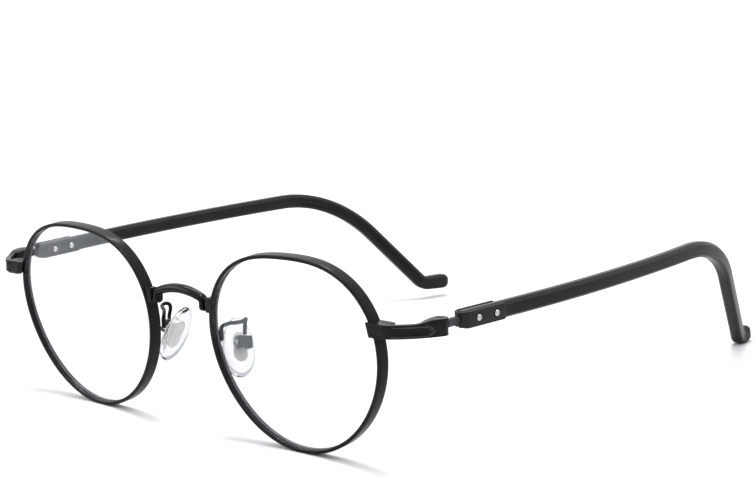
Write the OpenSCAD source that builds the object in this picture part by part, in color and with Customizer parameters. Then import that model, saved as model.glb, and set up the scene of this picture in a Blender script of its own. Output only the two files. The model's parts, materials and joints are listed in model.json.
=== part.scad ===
// Round metal eyeglasses with acetate temples, open and ready to wear.
// X runs across the front with the wearer's left at +X, Y runs back along the temples, Z is up.
// The open glasses stand on both rims and the left temple end in the plane Z = 0.
// The front of the lenses lies near Y = 0, and X = 0 is the front's mirror plane.
// The right temple is bent more over the ear, with a shorter drop and a longer tip.

/* [Rims and lenses] */
// Mean radius of the lens opening
lens_r = 21.86; // [21:0.02:22.4]
// How much wider than tall the opening is, as a part of its radius
shape_wide = 0.068; // [0.05:0.001:0.08]
// How much the lower half is pulled in to a rounder, narrower curve
shape_panto = 0.036; // [0.02:0.001:0.045]
// How far the outline leans towards the brow
shape_lean = 0.010; // [0:0.001:0.015]
// Distance between the two lens centres
lens_spacing = 67.12; // [66.6:0.02:67.6]
// Turn of each lens round the face
face_wrap = 2.0; // [1.5:0.1:2.5]
// Lean of the lens tops towards the front
face_tilt = 5.12; // [4.7:0.01:5.6]
// Depth of the rim band, front to back
rim_depth = 2.7; // [2.6:0.05:2.8]
// Thickness of the rim outside the lens opening
rim_out = 0.65; // [0.6:0.05:0.75]
// Thickness of the lens at its middle
lens_t = 1.4; // [1.2:0.05:1.5]

/* [Bridge] */
// Diameter of the bridge wire
bridge_d = 2.3; // [2:0.05:2.4]
// Radius of the bridge arch
arch_r = 20; // [18:0.5:24]
// Height of the top of the arch's centre line above the table
arch_z = 30.9; // [30.6:0.1:31.1]

/* [Endpieces and hinges] */
// Radius of the endpiece's front corner
corner_r = 2.5; // [2:0.1:3]
// Angle turned by the front corner
corner_angle = 36; // [34:1:38]
// Angle of the arm where it meets the hinge barrel
barrel_angle = 66; // [64:1:68]
// Thickness of the endpiece band
band_t = 1.2; // [1.1:0.05:1.3]
// Distance of the hinge axis from the mirror plane
hinge_x = 67.0; // [66.6:0.1:67.4]
// Distance of the hinge axis behind the lens plane
hinge_y = 8.0; // [7.8:0.1:8.2]
// Radius of the hinge barrel
barrel_r = 1.65; // [1.6:0.05:1.75]
// Radius of the hinge screw's shank
hinge_pin_r = 0.47; // [0.44:0.01:0.48]

/* [Temples] */
// Height of the temple's section
temple_h = 3.35; // [3.2:0.05:3.45]
// Width of the temple's section
temple_w = 2.7; // [2.6:0.05:2.8]
// Outward angle of the temple as it leaves the hinge
temple_splay = 3.15; // [2.8:0.05:3.5]
// Upward angle of the temple as it leaves the hinge
temple_rise = 0.83; // [0.6:0.01:1]
// Radius of the gentle inward bow
bow_r = 312; // [300:2:320]
// Length of the bow, measured as an angle
bow_angle = 11.2; // [11:0.1:11.5]
// Radius of the bend over the ear
ear_r = 34.4; // [34:0.1:35]
// Angle of the left temple's bend over the ear
ear_angle = 47; // [46.5:0.1:47.5]
// Length of the left temple's straight drop behind the ear
drop_len = 26.9; // [26.5:0.05:27]
// Angle of the right temple's bend over the ear
right_ear_angle = 50.8; // [50:0.1:51.5]
// Length of the right temple's straight drop behind the ear
right_drop_len = 19.2; // [18.5:0.05:20]
// Inward lean of the part behind the ear
drop_lean = 18; // [17:0.5:19]

/* [Nose pads] */
// Length of a nose pad
pad_len = 13; // [12:0.25:13.5]
// Width of a nose pad
pad_w = 7.6; // [7:0.1:8]
// Thickness of a nose pad
pad_t = 2.2; // [2:0.05:2.4]
// Diameter of the pad arm's wire
arm_d = 0.85; // [0.75:0.05:0.95]

/* [Hidden] */
$fn = 48;

// Clearance between pieces that only touch
gap = 0.02;
// Clearance of a screw or rivet in its hole
pin_gap = 0.03;

// Rim and lens
shape_square = 0.007;
outline_step = 4;
rim_lip = 0.15;
groove_y = 1.0;
groove_w = 0.7;
groove_r = 0.3;
lens_curve_r = 300;
lens_front = 0.15;
lens_gap = 0.05;
function opening_r(a) = lens_r * (1 + shape_wide * cos(2 * a) + shape_lean * sin(2 * a)
    + shape_panto * sin(3 * a) - shape_square * cos(4 * a));
rim_low = max([for (a = [180 : 2 : 360]) -(opening_r(a) + rim_out) * sin(a)]);
lens_x = lens_spacing / 2;
lens_z = rim_low * cos(face_tilt);

// Bridge ends and blocks
bridge_y = -0.3;
blade_x = 7.7;
blade_t = 1.4;
blade_w = 2.1;
blade_low = 26.9;
// The ball at the bridge's bends stands slightly proud of the wire
bend_extra = 0.04;
bridge_block_x = 11.2;
bridge_block_h = 3.2;
bridge_block_z = 28.5;

// Endpiece, measured in the arm's own frame: x along the arm, y outwards
flange_x = 55.9;
flange_slant = 0.8;
groove_inset = 0.65;
groove_high = 0.2;
groove_deep = 0.12;
flange_back = -0.1;
flange_low = 27.9;
flange_high = 30.8;
arm_low = 28.1;
hinge_top = 31.5;
hinge_z = 30.05;
// Start of the corner's outer curve, and the outer curve of the arm from there to the barrel
arm_sin = sin(barrel_angle) - sin(corner_angle);
arm_cos = cos(corner_angle) - cos(barrel_angle);
barrel_run_y = hinge_y - barrel_r * cos(barrel_angle) - flange_back + band_t
    - corner_r * (1 - cos(corner_angle));
arm_r = barrel_run_y / arm_cos;
corner_x = hinge_x + barrel_r * sin(barrel_angle) - arm_r * arm_sin - corner_r * sin(corner_angle);
corner_y = flange_back - band_t + corner_r;
arm_centre_x = corner_x + (corner_r - arm_r) * sin(corner_angle);
arm_centre_y = corner_y - (corner_r - arm_r) * cos(corner_angle);
// Height of the arm's top edge changes along the line from the corner to the hinge
side_angle = 45;
side_start = 6;
side_end = 10.4;
panel_depth = 0.12;
panel_low = arm_low + 0.4;
panel_high = flange_high - 0.5;
panel_start = 1.9;
panel_end = 8.8;
panel_tip = 9.7;
eye_h = 1.5;
eye_r = 1.2;
slot_h = eye_h + 0.16;
screw_head_r = 0.85;
screw_head_h = 0.34;
screw_slot = 0.16;

// Rim lock blocks, behind the flange
lock_round_x = 59.85;
lock_round_y = 1.25;
lock_round_r = 1.33;
lock_high = 30.75;
head_sink = 0.5;
lock_split = 29.35;
lock_gap = 0.2;
lock_screw_x = 59.5;
lock_screw_y = 1.1;
lock_screw_r = 0.45;
lock_head_r = 1.05;

// Temple, measured from the hinge axis along the temple
cap_nose = 4.8;
cap_end = 16.5;
cap_t = 0.5;
cap_inner = temple_w / 2 + gap;
cap_outer = cap_inner + cap_t;
cap_r = cap_nose + cap_outer;
straight_end = 22;
tongue_w = 1.2;
plate_w = 1.0;
core_r = 0.5;
core_gap = 0.03;
rivet_x = [9, 14];
rivet_r = 0.4;
rivet_head_r = 0.72;
rivet_head_h = 0.35;
top_chamfer = 0.75;
low_chamfer = 0.5;
rear_thin = 0.05;
splice = 0.5;
tip_r = 3.6;
// Each temple's bend behind the ear: ear angle, drop, tip angle, tip length
left_bend = [ear_angle, drop_len, 60, 2.6];
right_bend = [right_ear_angle, right_drop_len, 47.7, 7.2];

// Nose pad, measured from the pad screw
pad_pivot = [12.4, 6.58, 19.7];
pad_turn = [-12, -21.7, -8];
pad_face = -1.1;
pad_drop = 0.6;
// The balls at the pad arm's bends stand slightly proud of the wire
knuckle = 0.08;
// Alternate lengths of the pad arm's wire are drawn slightly thinner
arm_step = 0.03;
box_x = [-0.7, 1.1];
box_w = 3.2;
box_h = 2.6;
lug_w = 1.1;
lug_r = 0.75;
pad_pin_r = 0.4;
insert_t = 0.4;
insert_len = 6.4;
insert_w = 3.4;

// Right pieces mirror the left ones, apart from the bend of the temple
module right_side() mirror([1, 0, 0]) children();

// A flat outline in X and Z, thickened from y0 to y1
module slab(y0, y1) translate([0, y1, 0]) rotate([90, 0, 0]) linear_extrude(y1 - y0) children();

// A flat outline in X and Y, thickened from z0 to z1
module plate(z0, z1) translate([0, 0, z0]) linear_extrude(z1 - z0) children();

module opening(extra) {
    polygon([for (a = [0 : outline_step : 359]) (opening_r(a) + extra) * [cos(a), sin(a)]]);
}

module lens_frame() {
    translate([lens_x, 0, lens_z]) rotate([face_tilt, 0, face_wrap]) children();
}

module rod(p, q, r) {
    d = q - p;
    turn = atan2(d[1], d[0]);
    lean = acos(d[2] / norm(d));
    translate(p) rotate([0, lean, turn]) cylinder(r = r, h = norm(d));
}

// ---- Front ----

module rim() {
    color("#2b2d30") difference() {
        lens_frame() slab(0, rim_depth) opening(rim_out);
        lens_frame() slab(-1, rim_depth + 1) opening(-rim_lip);
        lens_frame() slab(groove_y, groove_y + groove_w) opening(groove_r);
        translate([lens_x + lens_r, -2, lock_split - lock_gap / 2]) cube([5, 8, lock_gap]);
    }
}

module lens() {
    color("#dfe8ee", 0.35) lens_frame() {
        intersection() {
            slab(-1, rim_depth + 1) opening(-rim_lip - lens_gap);
            translate([0, lens_front + lens_curve_r, 0]) difference() {
                sphere(lens_curve_r, $fn = 180);
                sphere(lens_curve_r - lens_t, $fn = 180);
            }
        }
        difference() {
            slab(groove_y + lens_gap, groove_y + groove_w - lens_gap) opening(groove_r - lens_gap);
            slab(groove_y, groove_y + groove_w) opening(-1.5);
        }
    }
}

// Plan of the lock blocks, with a rounded end inside the endpiece's corner
module lock_plan() {
    translate([flange_x, lock_round_y - lock_round_r]) square([lock_round_x - flange_x, 2 * lock_round_r]);
    translate([lock_round_x, lock_round_y]) circle(lock_round_r);
}

module lock_block(z0, z1) {
    difference() {
        plate(z0, z1) lock_plan();
        lens_frame() slab(-3, rim_depth + 3) opening(rim_out + gap);
        translate([lock_screw_x, lock_screw_y, z0 - 1]) cylinder(r = lock_screw_r + pin_gap, h = 5);
        translate([lock_screw_x, lock_screw_y, lock_high - head_sink])
            cylinder(r = lock_head_r + pin_gap, h = 5);
    }
}

module lock_upper() {
    color("#2b2d30") lock_block(lock_split + lock_gap / 2, lock_high);
}

module lock_lower() {
    color("#2b2d30") lock_block(flange_low + 0.1, lock_split - lock_gap / 2);
}

module rim_screw() {
    head_z = lock_high - head_sink + gap;
    color("#3a3d41") translate([lock_screw_x, lock_screw_y, 0]) difference() {
        union() {
            translate([0, 0, flange_low + 0.2]) cylinder(r = lock_screw_r, h = head_z - flange_low);
            translate([0, 0, head_z]) cylinder(r = lock_head_r, h = head_sink);
        }
        translate([-2, -0.14, head_z + 0.25]) cube([4, 0.28, 1]);
    }
}

// Moves a piece into the side view of the endpiece: x along the corner's diagonal, y outwards
module side_frame() {
    translate([corner_x, corner_y - corner_r, 0]) rotate([0, 0, side_angle]) mirror([0, 1, 0]) children();
}

// Top edge of the arm: level, then a smooth rise to the hinge
function arm_top(x) = flange_high + (hinge_top - flange_high)
    * (1 - cos(180 * min(max((x - side_start) / (side_end - side_start), 0), 1))) / 2;

module arm_side() {
    far = 16;
    polygon(concat(
        [[-3, arm_low], [far, arm_low]],
        [for (x = [far, side_end, 9.7, 9.1, 8.5, 7.9, 7.3, 6.7, side_start, -3]) [x, arm_top(x)]]));
}

// Part of a flat ring between two directions, measured from the front towards the side
module ring_sector(r, t, a0, a1) {
    intersection() {
        difference() {
            circle(r, $fn = 96);
            circle(r - t, $fn = 96);
        }
        polygon([[0, 0], 2 * r * [sin(a0), -cos(a0)], 2 * r * [sin((a0 + a1) / 2), -cos((a0 + a1) / 2)],
            2 * r * [sin(a1), -cos(a1)]]);
    }
}

// Plan of the arm: rounded corner, long flat curve, hinge barrel and the web behind it
module arm_plan() {
    translate([corner_x, corner_y]) ring_sector(corner_r, band_t, -1, corner_angle + 1);
    translate([arm_centre_x, arm_centre_y]) ring_sector(arm_r, band_t, corner_angle, barrel_angle);
    translate([hinge_x, hinge_y]) {
        circle(barrel_r);
        polygon([
            barrel_r * 0.9 * [sin(barrel_angle), -cos(barrel_angle)], [-barrel_r, 0],
            [-barrel_r - 0.3, -2.4], [-barrel_r, -3.4]
        ]);
    }
}

// Shallow panel in the arm's outer face, with a pointed end
module side_panel() {
    intersection() {
        side_frame() slab(-3, 5) polygon([
            [panel_start, panel_low], [panel_end, panel_low], [panel_tip, (panel_low + panel_high) / 2],
            [panel_end, panel_high], [panel_start, panel_high]
        ]);
        plate(arm_low, hinge_top) translate([arm_centre_x, arm_centre_y])
            ring_sector(arm_r + 1, 1 + panel_depth, corner_angle + 2, barrel_angle - 2);
    }
}

module endpiece() {
    color("#232528") difference() {
        union() {
            slab(flange_back - band_t, flange_back) polygon([
                [flange_x + flange_slant, flange_low], [corner_x, flange_low],
                [corner_x, flange_high], [flange_x, flange_high]
            ]);
            intersection() {
                plate(arm_low, hinge_top) arm_plan();
                side_frame() slab(-6, 6) arm_side();
            }
        }
        // Two grooves across the front face
        for (z = [flange_high - groove_inset, flange_low + groove_inset])
            translate([flange_x + 2 * groove_inset, flange_back - band_t - 1, z - groove_high / 2])
                cube([corner_x - flange_x - 2.3 * groove_inset, 1 + groove_deep, groove_high]);
        side_panel();
        // Slot for the temple's eye, open to the back and to the inner side
        translate([hinge_x, hinge_y, hinge_z - slot_h / 2]) {
            cylinder(r = eye_r + 0.1, h = slot_h);
            translate([-5, -eye_r - 0.1, 0]) cube([5, 10, slot_h]);
            translate([-0.1, 0, 0]) cube([eye_r + 0.1 - 0.15, 10, slot_h]);
        }
        // Screw hole and head recess
        translate([hinge_x, hinge_y, arm_low - 1]) cylinder(r = hinge_pin_r + pin_gap, h = 8);
        translate([hinge_x, hinge_y, hinge_top - screw_head_h]) cylinder(r = screw_head_r + pin_gap, h = 2);
    }
}

module hinge_screw() {
    color("#3a3d41") translate([hinge_x, hinge_y, 0]) difference() {
        union() {
            translate([0, 0, arm_low + 0.1])
                cylinder(r = hinge_pin_r, h = hinge_top - arm_low - 0.1 - screw_head_h + gap);
            translate([0, 0, hinge_top - screw_head_h + gap]) cylinder(r = screw_head_r, h = screw_head_h - 2 * gap);
        }
        translate([-2, -0.12, hinge_top - screw_slot]) cube([4, 0.24, 1]);
    }
}

module bridge() {
    end_angle = asin(blade_x / arch_r);
    color("#26282b") translate([0, bridge_y, 0]) {
        translate([0, 0, arch_z - arch_r]) rotate([90, 0, 0]) rotate([0, 0, 90 - end_angle])
            rotate_extrude(angle = 2 * end_angle) translate([arch_r, 0]) circle(d = bridge_d);
        for (side = [0, 1]) mirror([side, 0, 0]) bridge_end();
    }
}

// The end of the wire, turned down into a flat blade
module bridge_end() {
    end_z = arch_z - arch_r + sqrt(arch_r * arch_r - blade_x * blade_x);
    translate([blade_x, 0, end_z]) sphere(d = bridge_d + 2 * bend_extra);
    translate([blade_x - blade_t / 2, -blade_w / 2, blade_low]) cube([blade_t, blade_w, end_z - blade_low]);
}

module bridge_block() {
    inner_x = blade_x + bridge_d / 2 + gap;
    color("#1f2123") difference() {
        translate([inner_x, bridge_y - 0.9, bridge_block_z - bridge_block_h / 2])
            cube([bridge_block_x - inner_x, 1.8, bridge_block_h]);
        lens_frame() slab(-3, rim_depth + 3) opening(rim_out + gap);
    }
}

// ---- Nose pads ----

module pad_frame() translate(pad_pivot) rotate(pad_turn) children();

// The pad arm's path: up from the rim, back, round a loop and down to the pad box
function arm_path() = [
    [9.85, 2.40, 20.4], [9.85, 2.60, 23.1], [10.0, 3.4, 24.0], [13.3, 5.15, 24.5],
    [13.6, 6.15, 25.0], [12.9, 7.15, 24.9], [12.5, 7.2, 24.1], [12.75, 6.83, 21.6]
];

module pad_arm() {
    path = arm_path();
    last = len(path) - 1;
    color("#2b2d30") difference() {
        for (i = [0 : last - 1]) {
            rod(path[i], path[i + 1], arm_d / 2 - (i % 2) * arm_step);
            translate(path[i]) sphere(arm_d / 2 + knuckle);
        }
        lens_frame() slab(-3, rim_depth + gap) opening(rim_out + 2);
        pad_frame() translate([box_x[0], -box_w / 2, -3])
            cube([box_x[1] - box_x[0], box_w, 3 + box_h / 2 + gap]);
    }
}

module pad_box() {
    color("#34373a") pad_frame() difference() {
        translate([box_x[0], -box_w / 2, -box_h / 2]) cube([box_x[1] - box_x[0], box_w, box_h]);
        translate([-2, -lug_w / 2 - 0.06, -2]) cube([2 + lug_r + 0.1, lug_w + 0.12, 4]);
        rotate([90, 0, 0]) cylinder(r = pad_pin_r + pin_gap, h = 6, center = true);
    }
}

module pad_screw() {
    color("#c9ccd0") pad_frame() rotate([90, 0, 0]) {
        translate([0, 0, -box_w / 2]) cylinder(r = pad_pin_r, h = box_w + gap);
        translate([0, 0, box_w / 2 + gap]) cylinder(r = 0.6, h = 0.3);
    }
}

module insert_outline(extra) {
    translate([0, -pad_drop]) {
        square([insert_w + 2 * extra, insert_len - insert_w], center = true);
        for (s = [-1, 1]) translate([0, s * (insert_len - insert_w) / 2]) circle(insert_w / 2 + extra);
    }
}

// Turns an outline in Y and Z into a plate from x0 to x1
module side_plate(x0, x1) translate([x0, 0, 0]) rotate([90, 0, 90]) linear_extrude(x1 - x0) children();

module pad_insert() {
    plate_x = pad_face - 0.3;
    color("#b9b4aa") pad_frame() difference() {
        union() {
            side_plate(plate_x - insert_t, plate_x) insert_outline(0);
            rotate([90, 0, 0]) cylinder(r = lug_r, h = lug_w, center = true);
            translate([plate_x - 0.1, -lug_w / 2, -lug_r]) cube([0.1 - plate_x, lug_w, 2 * lug_r]);
        }
        rotate([90, 0, 0]) cylinder(r = pad_pin_r + pin_gap, h = 6, center = true);
    }
}

module pad_outline() {
    polygon([for (a = [0 : 10 : 359])
        [(pad_w / 2) * (1 - 0.1 * sin(a)) * cos(a), pad_len / 2 * sin(a) - pad_drop]]);
}

module nose_pad() {
    color("#eef2f4", 0.5) pad_frame() difference() {
        side_plate(pad_face - pad_t, pad_face) pad_outline();
        side_plate(pad_face - 0.3 - insert_t - gap, pad_face + 1) insert_outline(gap);
    }
}

// ---- Temples ----

// Moves a piece into the temple's frame: x along the temple, y inwards, z up
module temple_frame() {
    translate([hinge_x, hinge_y, hinge_z]) rotate([0, -temple_rise, 90 - temple_splay]) children();
}

// The temple's section, x inwards and y up, thinned by a margin all round
module temple_section(thin = 0) {
    w = temple_w / 2 - thin;
    h = temple_h / 2 - thin;
    polygon([
        [w, h - top_chamfer], [w - top_chamfer, h], [top_chamfer - w, h], [-w, h - top_chamfer],
        [-w, low_chamfer - h], [low_chamfer - w, -h], [w - low_chamfer, -h], [w, low_chamfer - h]
    ]);
}

// A section carried straight along x from x0 to x1
module along(x0, x1) translate([x0, 0, 0]) rotate([90, 0, 90]) linear_extrude(x1 - x0) children();

// The front section is carried straight from x0 and round the bow
module front_sweep(x0) {
    along(x0, straight_end) children();
    translate([straight_end, bow_r, 0]) rotate([0, 0, -90])
        rotate_extrude(angle = bow_angle) translate([bow_r, 0]) children();
}

// Moves a piece to the end of the bow, leaning inwards for the part behind the ear
module bow_end() {
    translate([straight_end + bow_r * sin(bow_angle), bow_r * (1 - cos(bow_angle)), 0])
        rotate([0, 0, bow_angle]) rotate([drop_lean, 0, 0]) children();
}

// The rear section starts inside the bow's end and is carried over the ear and down the drop
module ear_sweep(bend, length) {
    bow_end() {
        along(-splice, 0) rotate(-drop_lean) children();
        translate([0, 0, -ear_r]) {
            rotate([90, 0, 0]) rotate([0, 0, 90 - bend[0]]) rotate_extrude(angle = bend[0])
                translate([ear_r, 0]) rotate(-90 - drop_lean) children();
            rotate([0, bend[0], 0]) translate([0, 0, ear_r]) along(0, length)
                rotate(-drop_lean) children();
        }
    }
}

// The upturned tip at the end of the drop
module tip_sweep(bend) {
    bow_end() translate([0, 0, -ear_r]) rotate([0, bend[0], 0]) translate([bend[1], 0, ear_r + tip_r]) {
        rotate([90, 0, 0]) rotate([0, 0, -90]) rotate_extrude(angle = bend[2])
            translate([tip_r, 0]) mirror([1, 0]) rotate(-90 - drop_lean) children();
        rotate([0, -bend[2], 0]) translate([0, 0, -tip_r]) along(0, bend[3])
            rotate(-drop_lean) children();
    }
}

module rivet_holes() {
    for (x = rivet_x) translate([x, 0, 0]) rotate([90, 0, 0])
        cylinder(r = rivet_r + pin_gap, h = 10, center = true);
}

// Outline of the cap's rounded front and straight sides, at half width w
module cap_plan(w, end) {
    translate([cap_r, 0]) circle(w);
    translate([cap_r, -w]) square([end - cap_r, 2 * w]);
}

module temple(bend) {
    color("#1b1c1f") temple_frame() difference() {
        union() {
            intersection() {
                along(cap_nose, cap_end) temple_section();
                plate(-5, 5) cap_plan(temple_w / 2, cap_end);
            }
            front_sweep(cap_end) temple_section();
            ear_sweep(bend, bend[1]) temple_section(rear_thin);
            tip_sweep(bend) temple_section(rear_thin);
        }
        front_sweep(cap_end - 0.5) circle(core_r + core_gap);
        ear_sweep(bend, bend[1] / 2 + core_gap) circle(core_r - rear_thin + core_gap);
        translate([0, -plate_w / 2 - core_gap, -eye_h / 2 - core_gap])
            cube([cap_end, plate_w + 2 * core_gap, eye_h + 2 * core_gap]);
        translate([0, -tongue_w / 2 - core_gap, -eye_h / 2 - core_gap])
            cube([cap_r, tongue_w + 2 * core_gap, eye_h + 2 * core_gap]);
        rivet_holes();
    }
}

module temple_core(bend) {
    color("#4a4d52") {
        translate([hinge_x, hinge_y, hinge_z]) difference() {
            union() {
                translate([0, 0, -eye_h / 2]) cylinder(r = eye_r, h = eye_h);
                rotate([0, 0, 90 - temple_splay]) translate([0, -tongue_w / 2, -eye_h / 2])
                    cube([2.2, tongue_w, eye_h]);
            }
            translate([0, 0, -5]) cylinder(r = hinge_pin_r + pin_gap, h = 10);
        }
        temple_frame() difference() {
            union() {
                translate([2, -tongue_w / 2, -eye_h / 2]) cube([cap_r - 2 - core_gap, tongue_w, eye_h]);
                translate([cap_r - 0.2, -plate_w / 2, -eye_h / 2])
                    cube([cap_end - cap_r + 0.2 - gap, plate_w, eye_h]);
                front_sweep(cap_end - 0.5) circle(core_r);
                ear_sweep(bend, bend[1] / 2) circle(core_r - rear_thin);
            }
            rivet_holes();
        }
    }
}

module temple_cap() {
    color("#222427") temple_frame() difference() {
        plate(-temple_h / 2, temple_h / 2) cap_plan(cap_outer, cap_end);
        plate(-5, 5) cap_plan(cap_inner, cap_end + 1);
        translate([0, -tongue_w / 2 - core_gap, -eye_h / 2 - core_gap])
            cube([cap_r, tongue_w + 2 * core_gap, eye_h + 2 * core_gap]);
        rivet_holes();
    }
}

module temple_rivets() {
    dome_r = (rivet_head_r * rivet_head_r + rivet_head_h * rivet_head_h) / (2 * rivet_head_h);
    color("#d4d6d9") temple_frame() for (x = rivet_x) translate([x, 0, 0]) {
        rotate([90, 0, 0]) cylinder(r = rivet_r, h = 2 * (cap_outer + gap), center = true);
        for (s = [0, 1]) mirror([0, s, 0]) intersection() {
            translate([0, cap_outer + gap + rivet_head_h - dome_r, 0]) sphere(dome_r);
            translate([-1, cap_outer + gap, -1]) cube(2);
        }
    }
}

bridge();
bridge_block();  // left_bridge_block
right_side() bridge_block();  // right_bridge_block
rim();  // left_rim
right_side() rim();  // right_rim
lens();  // left_lens
right_side() lens();  // right_lens
lock_upper();  // left_lock_upper
right_side() lock_upper();  // right_lock_upper
lock_lower();  // left_lock_lower
right_side() lock_lower();  // right_lock_lower
rim_screw();  // left_rim_screw
right_side() rim_screw();  // right_rim_screw
endpiece();  // left_endpiece
right_side() endpiece();  // right_endpiece
hinge_screw();  // left_hinge_screw
right_side() hinge_screw();  // right_hinge_screw
temple_core(left_bend);  // left_temple_core
right_side() temple_core(right_bend);  // right_temple_core
temple(left_bend);  // left_temple
right_side() temple(right_bend);  // right_temple
temple_cap();  // left_temple_cap
right_side() temple_cap();  // right_temple_cap
temple_rivets();  // left_temple_rivets
right_side() temple_rivets();  // right_temple_rivets
pad_arm();  // left_pad_arm
right_side() pad_arm();  // right_pad_arm
pad_box();  // left_pad_box
right_side() pad_box();  // right_pad_box
pad_screw();  // left_pad_screw
right_side() pad_screw();  // right_pad_screw
pad_insert();  // left_pad_insert
right_side() pad_insert();  // right_pad_insert
nose_pad();  // left_nose_pad
right_side() nose_pad();  // right_nose_pad
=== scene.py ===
import json
import math

import bmesh
import bpy
import numpy as np
from mathutils import Matrix, Vector

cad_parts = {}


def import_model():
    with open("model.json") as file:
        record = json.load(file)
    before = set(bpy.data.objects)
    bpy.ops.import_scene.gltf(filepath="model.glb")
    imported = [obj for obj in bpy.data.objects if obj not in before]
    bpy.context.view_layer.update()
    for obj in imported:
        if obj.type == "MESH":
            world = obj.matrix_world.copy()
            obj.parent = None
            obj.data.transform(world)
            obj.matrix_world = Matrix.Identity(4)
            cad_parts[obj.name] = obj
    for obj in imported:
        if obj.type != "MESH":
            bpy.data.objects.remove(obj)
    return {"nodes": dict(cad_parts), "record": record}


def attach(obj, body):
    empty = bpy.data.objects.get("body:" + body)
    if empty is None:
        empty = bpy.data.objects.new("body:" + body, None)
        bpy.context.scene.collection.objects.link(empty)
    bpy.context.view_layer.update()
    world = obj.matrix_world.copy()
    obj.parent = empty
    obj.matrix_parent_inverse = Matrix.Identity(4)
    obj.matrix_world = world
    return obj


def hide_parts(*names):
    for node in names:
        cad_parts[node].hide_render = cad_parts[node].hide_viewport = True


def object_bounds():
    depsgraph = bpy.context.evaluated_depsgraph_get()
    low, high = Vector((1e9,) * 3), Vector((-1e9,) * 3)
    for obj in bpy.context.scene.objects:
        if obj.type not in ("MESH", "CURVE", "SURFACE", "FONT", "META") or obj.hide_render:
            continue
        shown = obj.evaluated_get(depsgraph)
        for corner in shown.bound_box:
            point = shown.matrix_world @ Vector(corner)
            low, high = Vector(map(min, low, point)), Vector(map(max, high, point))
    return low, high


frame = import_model()
cad_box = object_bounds()
BODIES = frame["record"]["behaviour"]["bodies"]
BODY_OF = {node: body for body, nodes in BODIES.items() for node in nodes}
MM = 0.001

# ---------------------------------------------------------------- dimensions, in millimetres
LENS_R, WIDE, LEAN, PANTO, SQUARE = 21.86, 0.068, 0.010, 0.036, 0.007
LENS_X = 33.56
FACE_WRAP, FACE_TILT = 2.0, 5.12
RIM_DEPTH, RIM_OUT, RIM_LIP = 2.7, 0.65, 0.15
GROOVE_Y, GROOVE_W, GROOVE_R = 1.0, 0.7, 0.3
LENS_T, LENS_FRONT, LENS_CURVE = 1.4, 0.15, 300.0
LOCK_SPLIT = 29.35

BRIDGE_D, BRIDGE_Y, ARCH_R, ARCH_Z = 2.3, -0.3, 20.0, 30.9
BLADE_X, BLADE_T, BLADE_W, BLADE_LOW = 7.7, 1.4, 2.1, 26.9
BRIDGE_FLAT, BRIDGE_DEEP, BRIDGE_TAPER = 0.88, 1.10, 0.10

TIP_ROUND, EAR_SWELL, CLUB_SWELL, CLUB_LEN = 2.3, 0.10, 0.14, 9
HINGE = np.array([67.0, 8.0, 30.05])
SPLAY, RISE = 3.15, 0.83
TEMPLE_H, TEMPLE_W = 3.35, 2.7
CAP_NOSE, CAP_END, CAP_T, CAP_GAP = 4.8, 16.5, 0.5, 0.02
TOP_CHAMFER, LOW_CHAMFER = 0.75, 0.5
STRAIGHT_END, BOW_R, BOW_ANGLE = 22.0, 312.0, 11.2
EAR_R, DROP_LEAN, TIP_R = 34.4, 18.0, 3.6
# Ear angle, drop, tip angle and tip length of the left and the right temple
BENDS = {1: (47.0, 26.9, 60.0, 2.6), -1: (50.8, 19.2, 47.7, 7.2)}
RIVET_X, RIVET_R, RIVET_H = (9.0, 14.0), 0.72, 0.35

PAD_PIVOT, PAD_TURN = np.array([12.4, 6.58, 19.7]), (-12.0, -21.7, -8.0)
PAD_FACE, PAD_DROP, PAD_LEN, PAD_W, PAD_T = -1.1, 0.6, 13.0, 7.6, 2.2
ARM_D = 0.85
ARM_PATH = [
    (9.85, 2.8, 20.3), (9.85, 2.82, 22.4), (9.95, 3.1, 23.5), (11.0, 4.0, 24.1), (12.4, 4.8, 24.3),
    (13.4, 5.55, 24.55), (13.45, 6.45, 24.85), (12.9, 7.1, 24.65), (12.55, 7.16, 23.8), (12.7, 6.87, 22.4),
    (12.75, 6.77, 21.4),
]


# ---------------------------------------------------------------- small geometry tools
def turn(axis, degrees):
    return np.array(Matrix.Rotation(math.radians(degrees), 3, axis))


def scad_turn(angles):
    return turn("Z", angles[2]) @ turn("Y", angles[1]) @ turn("X", angles[0])


def opening_r(a):
    return LENS_R * (1 + WIDE * np.cos(2 * a) + LEAN * np.sin(2 * a) + PANTO * np.sin(3 * a)
                     - SQUARE * np.cos(4 * a))


LOOK = np.linspace(math.pi, 2 * math.pi, 91)
LENS_Z = float(np.max(-(opening_r(LOOK) + RIM_OUT) * np.sin(LOOK))) * math.cos(math.radians(FACE_TILT))
LENS_TURN = scad_turn((FACE_TILT, 0, FACE_WRAP))
TEMPLE_TURN = scad_turn((0, -RISE, 90 - SPLAY))
PAD_ROT = scad_turn(PAD_TURN)


def lens_place(p):
    return np.asarray(p, float) @ LENS_TURN.T + [LENS_X, 0, LENS_Z]


def temple_place(p):
    return np.asarray(p, float) @ TEMPLE_TURN.T + HINGE


def pad_place(p):
    return np.asarray(p, float) @ PAD_ROT.T + PAD_PIVOT


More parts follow.
